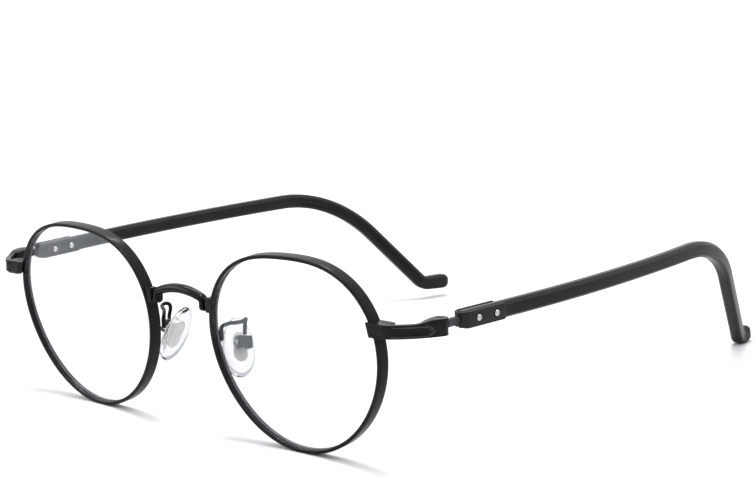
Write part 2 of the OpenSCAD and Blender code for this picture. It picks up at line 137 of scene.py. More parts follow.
def rounded(corners, radii, steps=4):
    """The polygon with each corner replaced by an arc."""
    out = []
    count = len(corners)
    for i, corner in enumerate(corners):
        c = np.array(corner, float)
        a = np.array(corners[i - 1], float) - c
        b = np.array(corners[(i + 1) % count], float) - c
        r = radii if isinstance(radii, (int, float)) else radii[i]
        if r <= 0:
            out.append(c)
            continue
        a, b = a / np.linalg.norm(a), b / np.linalg.norm(b)
        half = math.acos(float(np.clip(a @ b, -1, 1))) / 2
        middle = c + (a + b) / np.linalg.norm(a + b) * r / math.sin(half)
        start, end = c + a * r / math.tan(half) - middle, c + b * r / math.tan(half) - middle
        sweep_angle = math.atan2(start[0] * end[1] - start[1] * end[0], start @ end)
        for k in range(steps + 1):
            t = sweep_angle * k / steps
            out.append(middle + np.array([start[0] * math.cos(t) - start[1] * math.sin(t),
                                          start[0] * math.sin(t) + start[1] * math.cos(t)]))
    return np.array(out)


def sweep(places, sections, closed=False):
    """Rings of section points (a, b) set at origin + a*u + b*v, joined into a skin."""
    verts, faces = [], []
    n = len(sections[0])
    for (o, u, v), section in zip(places, sections):
        section = np.asarray(section)
        verts.append(np.asarray(o) + section[:, :1] * np.asarray(u) + section[:, 1:] * np.asarray(v))
    rings = len(places)
    for i in range(rings if closed else rings - 1):
        j = (i + 1) % rings
        for k in range(n):
            m = (k + 1) % n
            faces.append((i * n + k, i * n + m, j * n + m, j * n + k))
    if not closed:
        faces.append(tuple(range(n)))
        faces.append(tuple(range(rings * n - 1, (rings - 1) * n - 1, -1)))
    return np.concatenate(verts), faces


def join(*parts):
    """Several (verts, faces) as one."""
    verts, faces, base = [], [], 0
    for v, f in parts:
        verts.append(np.asarray(v, float))
        faces += [tuple(base + i for i in face) for face in f]
        base += len(v)
    return np.concatenate(verts), faces


def piece(name, shape, node, material, side=1, slots=None, replaces=True):
    """A mesh in the row frame that rides on a CAD node's body and, unless told not to, stands for it."""
    verts, faces = shape
    verts = np.array(verts, float) * MM
    if side < 0:
        verts[:, 0] *= -1
        faces = [tuple(reversed(f)) for f in faces]
    mesh = bpy.data.meshes.new(name)
    mesh.from_pydata(verts.tolist(), [], faces)
    mesh.update()
    ob = bpy.data.objects.new(name, mesh)
    bpy.context.scene.collection.objects.link(ob)
    for m in material if isinstance(material, list) else [material]:
        mesh.materials.append(m)
    if slots is not None:
        mesh.polygons.foreach_set("material_index", slots)
    fix_normals(mesh)
    mesh.shade_smooth()
    mesh.set_sharp_from_angle(angle=math.radians(38))
    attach(ob, BODY_OF[node])
    if replaces:
        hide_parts(node)
    return ob


def fix_normals(mesh):
    bm = bmesh.new()
    bm.from_mesh(mesh)
    bmesh.ops.remove_doubles(bm, verts=bm.verts, dist=1e-7)
    bmesh.ops.recalc_face_normals(bm, faces=bm.faces)
    bm.to_mesh(mesh)
    bm.free()


# ---------------------------------------------------------------- materials
class Nodes:
    """A short hand for building a node tree."""

    def __init__(self, name):
        self.material = bpy.data.materials.new(name)
        self.material.use_nodes = True
        self.tree = self.material.node_tree
        self.tree.nodes.clear()
        self.out = self.tree.nodes.new("ShaderNodeOutputMaterial")
        self.coords = self.tree.nodes.new("ShaderNodeTexCoord").outputs["Object"]

    def add(self, kind, **inputs):
        node = self.tree.nodes.new(kind)
        for key, value in inputs.items():
            socket = node.inputs[key.replace("__", " ")]
            if isinstance(value, bpy.types.NodeSocket):
                self.tree.links.new(value, socket)
            else:
                socket.default_value = value
        return node

    def noise(self, scale, detail=3.0, rough=0.5, stretch=None):
        vector = self.coords
        if stretch:
            vector = self.add("ShaderNodeMapping", Vector=vector, Scale=stretch).outputs["Vector"]
        return self.add("ShaderNodeTexNoise", Vector=vector, Scale=scale, Detail=detail,
                        Roughness=rough).outputs["Fac"]

    def ramp(self, fac, low, high, start=0.35, end=0.65):
        node = self.add("ShaderNodeValToRGB", Fac=fac)
        node.color_ramp.elements[0].position, node.color_ramp.elements[1].position = start, end
        node.color_ramp.elements[0].color = (*low, 1) if len(low) == 3 else low
        node.color_ramp.elements[1].color = (*high, 1) if len(high) == 3 else high
        return node.outputs["Color"]

    def span(self, fac, low, high, start=0.3, end=0.7):
        node = self.add("ShaderNodeMapRange", Value=fac)
        for key, value in (("From Min", start), ("From Max", end), ("To Min", low), ("To Max", high)):
            node.inputs[key].default_value = value
        return node.outputs["Result"]

    def bump(self, height, distance, strength=1.0, under=None):
        node = self.add("ShaderNodeBump", Height=height, Strength=strength, Distance=distance)
        if under is not None:
            self.tree.links.new(under, node.inputs["Normal"])
        return node.outputs["Normal"]

    def finish(self, shader):
        self.tree.links.new(shader, self.out.inputs["Surface"])
        return self.material


def painted_metal(name, low, high, rough, specular=0.2, grain=0.008):
    """Baked black lacquer on metal: fine orange peel, patchy sheen and faint handling marks."""
    n = Nodes(name)
    cloud = n.noise(260, 4)
    marks = n.noise(900, 3, stretch=(1, 1, 7))
    base = n.ramp(cloud, low, high)
    normal = n.bump(n.noise(5200, 2), grain * MM, 0.4)
    normal = n.bump(marks, grain * 1.5 * MM, 0.2, normal)
    shader = n.add("ShaderNodeBsdfPrincipled", Base__Color=base, Metallic=0.0, Normal=normal,
                   Roughness=n.span(cloud, rough - 0.04, rough + 0.05))
    shader.inputs["Specular IOR Level"].default_value = specular
    return n.finish(shader.outputs["BSDF"])


def bare_metal(name, low, high, rough, scratch=0.01, metallic=1.0):
    """Brushed or polished metal with fine directional scratches."""
    n = Nodes(name)
    lines = n.noise(2600, 2, stretch=(1, 0.12, 1))
    base = n.ramp(n.noise(700, 3), low, high)
    shader = n.add("ShaderNodeBsdfPrincipled", Base__Color=base, Metallic=metallic,
                   Roughness=n.span(lines, rough - 0.05, rough + 0.08),
                   Normal=n.bump(lines, scratch * MM, 0.6))
    return n.finish(shader.outputs["BSDF"])


def polished_rivet(name):
    """Turned silver with fine turning marks; its colour is painted bright in the middle and dark towards its
    rim, a painted highlight and painted shade.
    """
    n = Nodes(name)
    facing = n.add("ShaderNodeLayerWeight", Blend=0.45).outputs["Facing"]
    # Painted highlight and shade: light where the dome faces the viewer, near black towards its rim
    base = n.ramp(facing, (0.80, 0.80, 0.80), (0.05, 0.05, 0.055), 0.22, 0.60)
    marks = n.noise(4200, 2, stretch=(1, 0.2, 1))
    shader = n.add("ShaderNodeBsdfPrincipled", Base__Color=base, Metallic=0.9,
                   Roughness=n.span(marks, 0.14, 0.24), Normal=n.bump(marks, 0.006 * MM, 0.4))
    return n.finish(shader.outputs["BSDF"])


def acetate(name):
    """Tumble-polished black acetate: a smooth clear sheen over faint smoky clouding."""
    n = Nodes(name)
    wave = n.noise(420, 2, stretch=(1, 0.25, 1))
    base = n.ramp(n.noise(120, 5, 0.6), (0.005, 0.005, 0.006), (0.010, 0.010, 0.011))
    normal = n.bump(n.noise(6500, 2), 0.002 * MM, 0.2, n.bump(wave, 0.01 * MM, 0.15))
    shader = n.add("ShaderNodeBsdfPrincipled", Base__Color=base,
                   Roughness=n.span(n.noise(900, 3), 0.11, 0.16), Normal=normal)
    shader.inputs["Specular IOR Level"].default_value = 0.27
    shader.inputs["Coat Weight"].default_value = 0.04
    shader.inputs["Coat Roughness"].default_value = 0.06
    return n.finish(shader.outputs["BSDF"])


def clear(name, ior, rough_low, rough_high, wave, body, edge, shade=(1, 1, 1), specular=0.5, tint=(1, 1, 1)):
    """Clear material whose colour is painted darker towards its edges, a painted shade, and which casts only
    a faint shadow.
    """
    n = Nodes(name)
    cloud = n.noise(400, 3)
    facing = n.add("ShaderNodeLayerWeight", Blend=0.5).outputs["Facing"]
    # Painted shade: the base colour runs from body to edge as the surface turns away from the viewer
    glass = n.add("ShaderNodeBsdfPrincipled", Base__Color=n.ramp(facing, body, edge, 0.35, 0.95), IOR=ior,
                  Roughness=n.span(cloud, rough_low, rough_high), Normal=n.bump(cloud, wave * MM, 0.4))
    glass.inputs["Transmission Weight"].default_value = 1.0
    glass.inputs["Specular IOR Level"].default_value = specular
    glass.inputs["Specular Tint"].default_value = (*tint, 1)
    through = n.add("ShaderNodeBsdfTransparent", Color=(*shade, 1))
    path = n.tree.nodes.new("ShaderNodeLightPath")
    mix = n.tree.nodes.new("ShaderNodeMixShader")
    n.tree.links.new(path.outputs["Is Shadow Ray"], mix.inputs[0])
    n.tree.links.new(glass.outputs["BSDF"], mix.inputs[1])
    n.tree.links.new(through.outputs["BSDF"], mix.inputs[2])
    return n.finish(mix.outputs["Shader"])


BLACK_WIRE = painted_metal("black_wire", (0.005, 0.005, 0.0055), (0.009, 0.009, 0.010), 0.20, 0.18)
BLACK_METAL = painted_metal("black_metal", (0.004, 0.004, 0.0045), (0.008, 0.008, 0.009), 0.18, 0.23)
CAP_METAL = painted_metal("cap_metal", (0.008, 0.008, 0.009), (0.013, 0.013, 0.014), 0.22, 0.38)
BLACK_GLOSS = painted_metal("black_gloss", (0.002, 0.002, 0.0025), (0.004, 0.004, 0.005), 0.10, 0.20, 0.001)
ACETATE = acetate("black_acetate")
GUNMETAL = bare_metal("gunmetal", (0.045, 0.047, 0.050), (0.085, 0.088, 0.093), 0.36, 0.012, 0.8)
SCREW = bare_metal("dark_screw", (0.016, 0.016, 0.018), (0.035, 0.035, 0.038), 0.24, 0.012, 0.7)
TRIM = painted_metal("trim_metal", (0.022, 0.022, 0.024), (0.050, 0.050, 0.053), 0.14, 0.8, 0.004)
SILVER = polished_rivet("rivet_silver_painted_shading")
NICKEL = bare_metal("nickel", (0.88, 0.85, 0.81), (0.95, 0.92, 0.88), 0.40, 0.01, 0.25)
BOX_METAL = painted_metal("box_metal", (0.016, 0.018, 0.019), (0.026, 0.029, 0.030), 0.30, 0.45, 0.008)
LENS = clear("lens_glass", 1.5, 0.0, 0.004, 0.0005, (0.985, 0.992, 1.0), (0.97, 0.98, 1.0),
             specular=0.28, tint=(0.78, 0.93, 1.0))
LENS_EDGE = painted_metal("lens_edge", (0.10, 0.11, 0.125), (0.17, 0.185, 0.205), 0.42, 0.5, 0.01)
# The silicone's edge colour is far darker than its body: painted shade along the pad's rims
SILICONE = clear("silicone", 1.41, 0.02, 0.06, 0.004, (0.77, 0.78, 0.795), (0.40, 0.42, 0.45),
                 (0.88, 0.88, 0.89))
# Near black for the low rings round the rivets: a painted shadow round each rivet head
RIVET_RING_SHADE = painted_metal("rivet_ring_painted_shade", (0.003, 0.003, 0.003), (0.006, 0.006, 0.006), 0.6, 0.1)


# ---------------------------------------------------------------- rims and lenses
def rim_shape():
    front, back = 0.0, RIM_DEPTH
    corners = [
        (-RIM_LIP, front), (RIM_OUT, front), (RIM_OUT, back), (-RIM_LIP, back),
        (-RIM_LIP, GROOVE_Y + GROOVE_W), (GROOVE_R, GROOVE_Y + GROOVE_W), (GROOVE_R, GROOVE_Y),
        (-RIM_LIP, GROOVE_Y),
    ]
    section = rounded(corners, [0.12, 0.14, 0.16, 0.14, 0.06, 0.05, 0.05, 0.06], 4)
    split = math.asin((LOCK_SPLIT - LENS_Z) / (LENS_R + RIM_OUT))
    slit = 0.04 / LENS_R
    places, sections = [], []
    for a in np.linspace(split + slit, split + 2 * math.pi - slit, 221):
        r = opening_r(a)
        ahead, behind = a + 1e-3, a - 1e-3
        along = np.array([opening_r(ahead) * math.cos(ahead) - opening_r(behind) * math.cos(behind),
                          opening_r(ahead) * math.sin(ahead) - opening_r(behind) * math.sin(behind)])
        along /= np.linalg.norm(along)
        radial = LENS_TURN @ np.array([along[1], 0, -along[0]])
        stretch = 1 / (along[1] * math.cos(a) - along[0] * math.sin(a))
        places.append((lens_place((r * math.cos(a), 0, r * math.sin(a))), radial,
                       LENS_TURN @ np.array([0, 1, 0])))
        sections.append(section * [1 / stretch if stretch > 1.001 else 1, 1])
    return sweep(places, sections)


def lens_shape():
    edge = -RIM_LIP - 0.05
    rings = []
    angles = np.linspace(0, 2 * math.pi, 160, endpoint=False)

    def ring(extra, share, y_of):
        rho = (opening_r(angles) + extra) * share
        rings.append(np.stack([rho * np.cos(angles), y_of(rho), rho * np.sin(angles)], 1))

    def front(rho):
        return LENS_FRONT + LENS_CURVE - np.sqrt(LENS_CURVE ** 2 - rho ** 2)

    def back(rho):
        inner = LENS_CURVE - LENS_T
        return LENS_FRONT + LENS_CURVE - np.sqrt(inner ** 2 - rho ** 2)

    shares = [0.02, 0.12, 0.25, 0.4, 0.55, 0.7, 0.82, 0.92, 0.98, 1.0]
    for share in shares:
        ring(edge, share, front)
    ring(edge, 1.0, lambda rho: np.full_like(rho, GROOVE_Y + 0.05))
    ring(GROOVE_R - 0.05, 1.0, lambda rho: np.full_like(rho, GROOVE_Y + 0.22))
    ring(GROOVE_R - 0.05, 1.0, lambda rho: np.full_like(rho, GROOVE_Y + GROOVE_W - 0.22))
    ring(edge, 1.0, lambda rho: np.full_like(rho, GROOVE_Y + GROOVE_W - 0.05))
    for share in reversed(shares):
        ring(edge, share, back)
    n = len(angles)
    verts = lens_place(np.concatenate(rings))
    faces = [tuple(range(n))]
    for i in range(len(rings) - 1):
        for k in range(n):
            m = (k + 1) % n
            faces.append((i * n + k, i * n + m, (i + 1) * n + m, (i + 1) * n + k))
    faces.append(tuple(range(len(rings) * n - 1, (len(rings) - 1) * n - 1, -1)))
    first, last = 1 + (len(shares) - 1) * n, 1 + (len(shares) + 4) * n
    slots = [1 if first <= i < last else 0 for i in range(len(faces))]
    return (verts, faces), slots


# ---------------------------------------------------------------- bridge
def smooth_step(x, low, high):
    t = min(max((x - low) / (high - low), 0.0), 1.0)
    return t * t * (3 - 2 * t)


def superellipse(half_a, half_b, power, steps=28):
    t = np.linspace(0, 2 * math.pi, steps, endpoint=False)
    c, s = np.cos(t), np.sin(t)
    return np.stack([half_a * np.sign(c) * np.abs(c) ** power,
                     half_b * np.sign(s) * np.abs(s) ** power], 1)


def bridge_shape():
    """The arched wire, whose ends curl down into flat blades."""
    end_angle = math.asin((BLADE_X - 0.9) / ARCH_R)
    centre = np.array([0, BRIDGE_Y, ARCH_Z - ARCH_R])
    half = []
    for a in np.linspace(0, end_angle, 26):
        half.append((centre + ARCH_R * np.array([math.sin(a), 0, math.cos(a)]), a, 0.0))
    start, heading = half[-1][0], end_angle
    curl = 0.9 / math.cos(end_angle)
    middle = start + curl * np.array([-math.sin(heading), 0, -math.cos(heading)])
    for a in np.linspace(heading, math.pi / 2, 12)[1:]:
        p = middle + curl * np.array([math.sin(a), 0, math.cos(a)])
        half.append((p, a, (a - heading) / (math.pi / 2 - heading)))
    top = half[-1][0]
    straight = top[2] - BLADE_LOW
    for t in np.linspace(0, 1, 14)[1:]:
        half.append((top - np.array([0, 0, straight * t]), math.pi / 2, 1.0 + t))
    places, sections = [], []
    line = [(p * [-1, 1, 1], -a, s) for p, a, s in reversed(half[1:])] + half
    for p, a, s in line:
        blend = min(max(s, 0), 1)
        taper = 1 - BRIDGE_TAPER * smooth_step(abs(p[0]), 1.5, BLADE_X)
        wide = BRIDGE_D / 2 * BRIDGE_FLAT * taper * (1 - blend) + BLADE_T / 2 * blend
        deep = BRIDGE_D / 2 * BRIDGE_DEEP * taper * (1 - blend) + BLADE_W / 2 * blend
        power = 1 - 0.42 * blend
        if s > 1:
            left = (2 - s) * straight
            tip = min(1.0, math.sqrt(max(1 - (1 - min(left / 0.95, 1)) ** 2, 0.0004)))
            deep *= tip
            wide *= 0.35 + 0.65 * tip
        places.append((p, (math.sin(a), 0, math.cos(a)), (0, 1, 0)))
        sections.append(superellipse(wide, deep, power))
    return sweep(places, sections)


# ---------------------------------------------------------------- temples
def temple_line(start, bend):
    """Places along the temple from x = start to its tip: (origin, inward, up)."""
    ear_angle, drop_len, tip_angle, tip_len = bend
    line = []
    for x in np.arange(start, STRAIGHT_END, 0.8):
        line.append((np.array([x, 0, 0.0]), np.array([0, 1.0, 0]), np.array([0, 0, 1.0])))
    for t in np.radians(np.linspace(0, BOW_ANGLE, 50)):
        line.append((np.array([STRAIGHT_END + BOW_R * math.sin(t), BOW_R * (1 - math.cos(t)), 0]),
                     np.array([-math.sin(t), math.cos(t), 0]), np.array([0, 0, 1.0])))
    t = math.radians(BOW_ANGLE)
    origin = np.array([STRAIGHT_END + BOW_R * math.sin(t), BOW_R * (1 - math.cos(t)), 0])
    rot = turn("Z", BOW_ANGLE) @ turn("X", DROP_LEAN)
    lean = math.radians(DROP_LEAN)

    def rear(p, heading):
        up = np.array([math.sin(heading), 0, math.cos(heading)])
        side = np.array([0, 1.0, 0])
        u = math.cos(lean) * side - math.sin(lean) * up
        v = math.sin(lean) * side + math.cos(lean) * up
        line.append((origin + rot @ p, rot @ u, rot @ v))

    for a in np.radians(np.linspace(0, ear_angle, 40))[1:]:
        rear(np.array([EAR_R * math.sin(a), 0, EAR_R * math.cos(a) - EAR_R]), a)
    a = math.radians(ear_angle)
    along = np.array([math.cos(a), 0, -math.sin(a)])
    up = np.array([math.sin(a), 0, math.cos(a)])
    end = np.array([EAR_R * math.sin(a), 0, EAR_R * math.cos(a) - EAR_R])
    for s in np.linspace(0, drop_len, 36)[1:]:
        rear(end + along * s, a)
    end = end + along * drop_len
    for b in np.radians(np.linspace(0, tip_angle, 16))[1:]:
        rear(end + along * TIP_R * math.sin(b) + up * TIP_R * (1 - math.cos(b)), a - b)
    b = math.radians(tip_angle)
    end = end + along * TIP_R * math.sin(b) + up * TIP_R * (1 - math.cos(b))
    along = along * math.cos(b) + up * math.sin(b)
    for s in np.concatenate([np.linspace(0, tip_len - TIP_ROUND, 8)[1:],
                             tip_len - TIP_ROUND * (1 - np.sin(np.radians(np.linspace(0, 90, 12))[1:]))]):
        rear(end + along * s, a - b)
    return line


def temple_shape(bend, on_table):
    half_w, half_h = TEMPLE_W / 2, TEMPLE_H / 2
    nose = CAP_NOSE + CAP_T + CAP_GAP
    line = temple_line(nose, bend)
    lead = [nose + half_w * (1 - math.cos(math.radians(t))) for t in (6, 20, 35, 50, 65, 80, 90)]
    places, sections = [], []
    body = [p for p in line if p[0][0] > lead[-1] + 0.1]
    length = np.cumsum([0] + [np.linalg.norm(body[i + 1][0] - body[i][0]) for i in range(len(body) - 1)])

    def section(w, h, scale=1.0, soft=0.0):
        top, low = min(TOP_CHAMFER, w * 0.8), min(LOW_CHAMFER, w * 0.8)
        pts = [(w, h - top), (w - top, h), (top - w, h), (-w, h - top),
               (-w, low - h), (low - w, -h), (w - low, -h), (w, low - h)]
        return rounded(pts, 0.14 + 0.42 * soft, 3) * scale

    for x in lead:
        w = math.sqrt(max(half_w ** 2 - (nose + half_w - x) ** 2, 0.01))
        places.append(((x, 0, 0), (0, 1, 0), (0, 0, 1)))
        sections.append(section(half_w, half_h) * [w / half_w, 1])
    total = length[-1]
    for (o, u, v), s in zip(body, length):
        left = total - s
        scale = math.sqrt(max(1 - (1 - min(left / TIP_ROUND, 1)) ** 2, 0.0025))
        # The acetate swells gently behind the ear and once more at its club end, which
        # swells only upwards where it stands on the table
        club = smooth_step(-left, -CLUB_LEN, -3)
        swell = EAR_SWELL * smooth_step(s, 60, 95) + CLUB_SWELL * club
        soft = smooth_step(s, 70, 108) + 0.5 * club
        lift = swell * club if on_table else 0.0
        places.append((o + v * lift, u, v))
        sections.append(section(half_w + swell, half_h + swell, scale, soft))
    places = [(temple_place(o), TEMPLE_TURN @ np.array(u), TEMPLE_TURN @ np.array(v)) for o, u, v in places]
    return sweep(places, sections)


def cap_shape():
    """The metal cap: one strip folded round the temple's nose, with rounded rear corners."""
    inner = TEMPLE_W / 2 + CAP_GAP
    middle = inner + CAP_T / 2
    centre = CAP_NOSE + inner + CAP_T
    half_h = TEMPLE_H / 2
    stations = []
    for x in np.concatenate([CAP_END - 0.55 * (1 - np.cos(np.radians(np.linspace(0, 90, 6)))),
                             np.linspace(CAP_END - 1.2, centre, 8)]):
        stations.append(((x, -middle), (0, -1)))
    for t in np.linspace(0, 180, 25)[1:-1]:
        c, s = math.cos(math.radians(t)), math.sin(math.radians(t))
        stations.append(((centre - middle * s, -middle * c), (-s, -c)))
    stations += [((x, -y), (n[0], -n[1])) for (x, y), n in reversed(stations[:14])]
    places, sections = [], []
    for (x, y), (nx, ny) in stations:
        rear = max(CAP_END - x, 0)
        trim = 0.55 * (1 - math.sqrt(max(1 - (1 - min(rear / 0.55, 1)) ** 2, 0)))
        front = x - CAP_NOSE
        drop = 1.1 * (1 - math.sqrt(max(1 - (1 - min((front + 0.12) / 1.25, 1)) ** 2, 0)))
        ease = 0.55 * (1 - math.sqrt(max(1 - (1 - min((front + 0.08) / 0.8, 1)) ** 2, 0)))
        low, high = -half_h + max(trim, drop), half_h - max(trim, ease)
        box = [(-CAP_T / 2, low), (CAP_T / 2, low), (CAP_T / 2, high), (-CAP_T / 2, high)]
        places.append((temple_place((x, y, 0)), TEMPLE_TURN @ np.array([nx, ny, 0]),
                       TEMPLE_TURN @ np.array([0, 0, 1.0])))
        sections.append(rounded(box, [0.13, 0.16, 0.16, 0.13], 3))
    return sweep(places, sections)


def dome(centre, normal, r, h, base=0.0, rings=7, steps=28):
    """A shallow polished dome with a small flat rim, standing on a surface."""
    n = np.array(normal, float)
    u = np.cross(n, [0.3, 0.2, 0.9])
    u /= np.linalg.norm(u)
    v = np.cross(n, u)
    profile = [(r, base - 0.25), (r, base + 0.05)]
    for t in np.linspace(0, 90, rings)[1:]:
        c, s = math.cos(math.radians(t)), math.sin(math.radians(t))
        profile.append((max(r * c, 0.012), base + 0.05 + (h - 0.05) * s))
    verts, faces = [], []
    for rad, height in profile:
        for a in np.linspace(0, 2 * math.pi, steps, endpoint=False):
            verts.append(np.array(centre) + n * height + rad * (u * math.cos(a) + v * math.sin(a)))
    count = len(profile)
    for i in range(count - 1):
        for k in range(steps):
            m = (k + 1) % steps
            faces.append((i * steps + k, i * steps + m, (i + 1) * steps + m, (i + 1) * steps + k))
    faces.append(tuple(range(steps)))
    faces.append(tuple(range((count - 1) * steps, count * steps)))
    return np.array(verts), faces


def collar(centre, normal, r_in, r_out, height, steps=28):
    """A low ring round a rivet."""
    n = np.array(normal, float)
    u = np.cross(n, [0.3, 0.2, 0.9])
    u /= np.linalg.norm(u)
    v = np.cross(n, u)
    section = rounded([(r_in, -0.2), (r_out, -0.2), (r_out, height), (r_in, height)],
                      [0.0, 0.0, height * 0.6, height * 0.4], 2)
    places, sections = [], []
    for a in np.linspace(0, 2 * math.pi, steps, endpoint=False):
        places.append((np.array(centre), u * math.cos(a) + v * math.sin(a), n))
        sections.append(section)
    return sweep(places, sections, closed=True)


def rivets_shape():
    outer = TEMPLE_W / 2 + CAP_GAP + CAP_T
    parts, rings = [], []
    for x in RIVET_X:
        for s in (-1, 1):
            centre = temple_place((x, s * outer, 0))
            normal = TEMPLE_TURN @ np.array([0, s, 0.0])
            parts.append(dome(centre, normal, RIVET_R, RIVET_H))
            rings.append(collar(centre, normal, RIVET_R - 0.05, RIVET_R + 0.2, 0.05))
    domes = join(*parts)
    rings = join(*rings)
    count = len(domes[1])
    shape = join(domes, rings)
    # The rings take the second slot, coloured near black as painted shade round each rivet
    return shape, [0] * count + [1] * (len(shape[1]) - count)


# ---------------------------------------------------------------- trim on the endpiece
CORNER, CORNER_R = np.array([60.437, 1.2]), 2.5
ARM_CENTRE, ARM_R, CORNER_ANGLE, BARREL_ANGLE = np.array([49.996, 15.571]), 20.263, 36.0, 66.0
PANEL_LOW, PANEL_HIGH, PANEL_START, PANEL_END, PANEL_TIP = 28.5, 30.3, 1.9, 8.8, 9.7


def arm_outline():
    """Points and outward normals along the arm's outer face, with their distance in the side view."""
    rows = []
    arcs = ((CORNER, CORNER_R, 0.0, CORNER_ANGLE), (ARM_CENTRE, ARM_R, CORNER_ANGLE, BARREL_ANGLE))
    for centre, r, a0, a1 in arcs:
        for a in np.radians(np.linspace(a0, a1, 80)):
            normal = np.array([math.sin(a), -math.cos(a)])
            p = centre + r * normal
            rows.append((((p - CORNER + [0, CORNER_R]) @ [1, 1]) / math.sqrt(2), *p, *normal))
    return np.array(rows)


ARM_OUTLINE = arm_outline()


def on_arm(x, z, lift=0.0):
    """The point of the arm's outer face at x along the side view and height z."""
    px, py, nx, ny = (np.interp(x, ARM_OUTLINE[:, 0], ARM_OUTLINE[:, k]) for k in (1, 2, 3, 4))
    return np.array([px + nx * lift, py + ny * lift, z]), np.array([nx, ny, 0.0])


def path_on_arm(corners, pitch):
    """Evenly spaced places along a line drawn on the arm's side."""
    out = []
    for (x0, z0), (x1, z1) in zip(corners, corners[1:]):
        count = max(int(round(math.hypot(x1 - x0, z1 - z0) / pitch)), 1)
        out += [(x0 + (x1 - x0) * k / count, z0 + (z1 - z0) * k / count) for k in range(count)]
    return out + [corners[-1]]


def bead(centre, normal, r):
    """A small round bead half sunk in a face."""
    return dome(centre, normal, r, r * 0.9, base=-0.02, rings=4, steps=8)


def endpiece_trim():
    """A beaded lower edge, a plain upper ridge and a double pointed end to the side panel."""
    middle = (PANEL_LOW + PANEL_HIGH) / 2
    beaded = [(PANEL_START, PANEL_LOW), (PANEL_END, PANEL_LOW), (PANEL_TIP, middle), (PANEL_END, PANEL_HIGH)]
    parts = [bead(*on_arm(x, z), 0.16) for x, z in path_on_arm(beaded, 0.4)]
    outer = [(PANEL_END + 0.5, PANEL_LOW - 0.05), (PANEL_TIP + 0.55, middle),
             (PANEL_END + 0.5, PANEL_HIGH + 0.05)]
    upper = [(PANEL_START, PANEL_HIGH), (PANEL_END, PANEL_HIGH)]
    for line in (outer, upper):
        spots = [on_arm(x, z, 0.01)[0] for x, z in path_on_arm(line, 0.12)]
        parts.append(wire(spots, lambda s, total: (0.11, 0.11), 8, (0.3, 0.2, 0.9)))
    return join(*parts)


# ---------------------------------------------------------------- nose pads
def smooth_line(points, per=7):
    """A Catmull-Rom curve through the points."""
    p = np.array(points, float)
    p = np.vstack([2 * p[0] - p[1], p, 2 * p[-1] - p[-2]])
    out = []
    for i in range(1, len(p) - 2):
        for t in np.linspace(0, 1, per, endpoint=False):
            out.append(0.5 * (2 * p[i] + (p[i + 1] - p[i - 1]) * t
                              + (2 * p[i - 1] - 5 * p[i] + 4 * p[i + 1] - p[i + 2]) * t ** 2
                              + (3 * p[i] - 3 * p[i + 1] + p[i + 2] - p[i - 1]) * t ** 3))
    out.append(p[-2])
    return np.array(out)


def wire(points, radius_of, steps=18, first_up=(0, 1, 0)):
    """A round wire along a line, with rounded ends; radius_of(s, total) gives (half width, half depth)."""
    p = np.array(points)
    d = np.gradient(p, axis=0)
    d /= np.linalg.norm(d, axis=1)[:, None]
    u = np.array(first_up, float)
    length = np.concatenate([[0], np.cumsum(np.linalg.norm(np.diff(p, axis=0), axis=1))])
    places, sections = [], []
    for o, t, s in zip(p, d, length):
        u = u - (u @ t) * t
        u /= np.linalg.norm(u)
        v = np.cross(t, u)
        a, b = radius_of(s, length[-1])
        places.append((o, u, v))
        sections.append(superellipse(a, b, 1.0, steps))
    return sweep(places, sections)


def pad_arm_shape():
    def radius(s, total):
        foot = min(max((3.0 - s) / 0.8, 0), 1)
        end = math.sqrt(max(1 - (1 - min(s / 0.3, 1)) ** 2, 0.02))
        r = ARM_D / 2
        return (r * (1 - 0.05 * foot) * end, r * (1 + 0.45 * foot) * end)
    return wire(smooth_line(ARM_PATH), radius)


def nose_pad_shape():
    """A teardrop cushion with full, soft edges and slightly domed faces."""
    middle = PAD_FACE - PAD_T / 2
    steps = 72
    angles = np.linspace(0, 2 * math.pi, steps, endpoint=False)
    outline = np.stack([PAD_W / 2 * (1 - 0.1 * np.sin(angles)) * np.cos(angles),
                        PAD_LEN / 2 * np.sin(angles)], 1)
    rings = []
    for t in np.radians(np.concatenate([np.linspace(-90, -30, 10), np.linspace(-20, 20, 7),
                                        np.linspace(30, 90, 10)])):
        c, s = max(math.cos(t), 0.03), math.sin(t)
        share = c ** 0.42
        x = middle + PAD_T / 2 * math.copysign(abs(s) ** 0.75, s)
        ring = outline * share
        rings.append(np.stack([np.full(steps, x), ring[:, 0], ring[:, 1] - PAD_DROP], 1))
    verts = pad_place(np.concatenate(rings))
    faces = [tuple(range(steps))]
    for i in range(len(rings) - 1):
        for k in range(steps):
            m = (k + 1) % steps
            faces.append((i * steps + k, i * steps + m, (i + 1) * steps + m, (i + 1) * steps + k))
    faces.append(tuple(range(len(rings) * steps - 1, (len(rings) - 1) * steps - 1, -1)))
    return verts, faces


# ---------------------------------------------------------------- CAD pieces kept, with eased edges
def keep(node, material, ease, segments=3):
    ob = frame["nodes"][node]
    ob.data.materials.clear()
    ob.data.materials.append(material)
    weld = ob.modifiers.new("weld", "WELD")
    weld.merge_threshold = 2e-6
    flat = ob.modifiers.new("flat", "DECIMATE")
    flat.decimate_type = "DISSOLVE"
    flat.angle_limit = math.radians(1.5)
    if ease:
        bevel = ob.modifiers.new("ease", "BEVEL")
        bevel.width = ease * MM
        bevel.segments = segments
        bevel.limit_method = "ANGLE"
        bevel.angle_limit = math.radians(32)
        bevel.use_clamp_overlap = True
        bevel.harden_normals = False
    ob.data.shade_smooth()
    ob.data.set_sharp_from_angle(angle=math.radians(40))
    return ob


